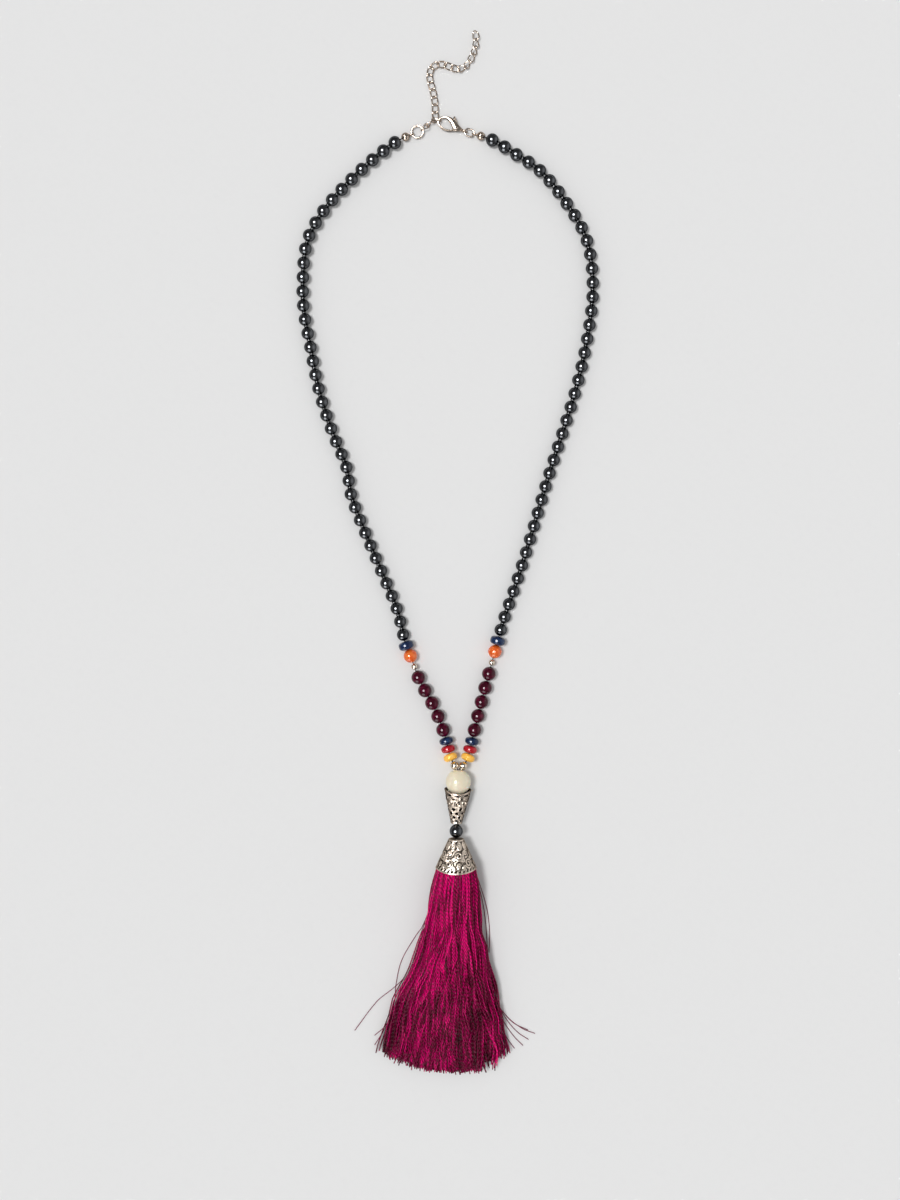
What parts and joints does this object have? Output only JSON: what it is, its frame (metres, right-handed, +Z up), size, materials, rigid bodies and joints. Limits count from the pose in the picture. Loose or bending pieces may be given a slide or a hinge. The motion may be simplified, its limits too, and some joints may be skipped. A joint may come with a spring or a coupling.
{
  "type": "tassel necklace",
  "caption": "Long necklace of mirror-dark round beads with coloured end beads, a claw clasp, and a drop of openwork cone, embossed cap and magenta thread tassel.",
  "frame": {"origin": "on the surface that the necklace lies on, in the middle of the neck opening", "axes": "+Y from the tassel to the clasp, +Z up from the surface, +X to the right seen from above"},
  "size_m": [0.1415, 0.4988, 0.0198],
  "materials": {
    "dark_mirror": "polished to a dark mirror",
    "bead_thread": "waxed thread",
    "navy": "glossy, slightly clouded",
    "orange": "glossy",
    "bright_silver": "polished",
    "plum": "glossy, deep",
    "red": "glossy",
    "yellow": "satin",
    "findings": "pale polished metal",
    "ivory": "satin ivory",
    "antique_silver": "cast silver with dark patina in its hollows",
    "tassel_thread": "lustrous twisted threads"
  },
  "bodies": {
    "necklace": {"dark_beads_left": "dark_mirror", "dark_beads_right": "dark_mirror", "thread_left": "bead_thread", "thread_right": "bead_thread", "navy_rondelle_left": "navy", "orange_bead_left": "orange", "silver_spacer_left": "bright_silver", "plum_bead_1_left": "plum", "plum_bead_2_left": "plum", "plum_bead_3_left": "plum", "plum_bead_4_left": "plum", "plum_bead_5_left": "plum", "navy_disc_left": "navy", "red_disc_left": "red", "yellow_disc_left": "yellow", "silver_round_left": "bright_silver", "knot_cover_left": "findings", "navy_rondelle_right": "navy", "orange_bead_right": "orange", "silver_spacer_right": "bright_silver", "plum_bead_1_right": "plum", "plum_bead_2_right": "plum", "plum_bead_3_right": "plum", "plum_bead_4_right": "plum", "plum_bead_5_right": "plum", "navy_disc_right": "navy", "red_disc_right": "red", "yellow_disc_right": "yellow", "silver_round_right": "bright_silver", "knot_cover_right": "findings", "jump_ring": "findings", "extender_chain": "findings", "clasp_body": "findings", "oval_ring": "findings", "pale_bead": "ivory", "openwork_cone": "antique_silver", "drop_bead": "dark_mirror", "tassel_cap": "antique_silver", "tassel": "tassel_thread"},
    "lever": {"clasp_lever": "findings"}
  },
  "joints": [
    {"name": "lever_hinge", "type": "hinge", "parent": "necklace", "child": "lever", "pos_m": [0.0042, 0.08732, 0.0017], "axis": [0, 0, 1], "range_deg": [-16, 0], "stiffness_Nm_per_rad": 0.005, "springref_deg": 20.05}
  ]
}
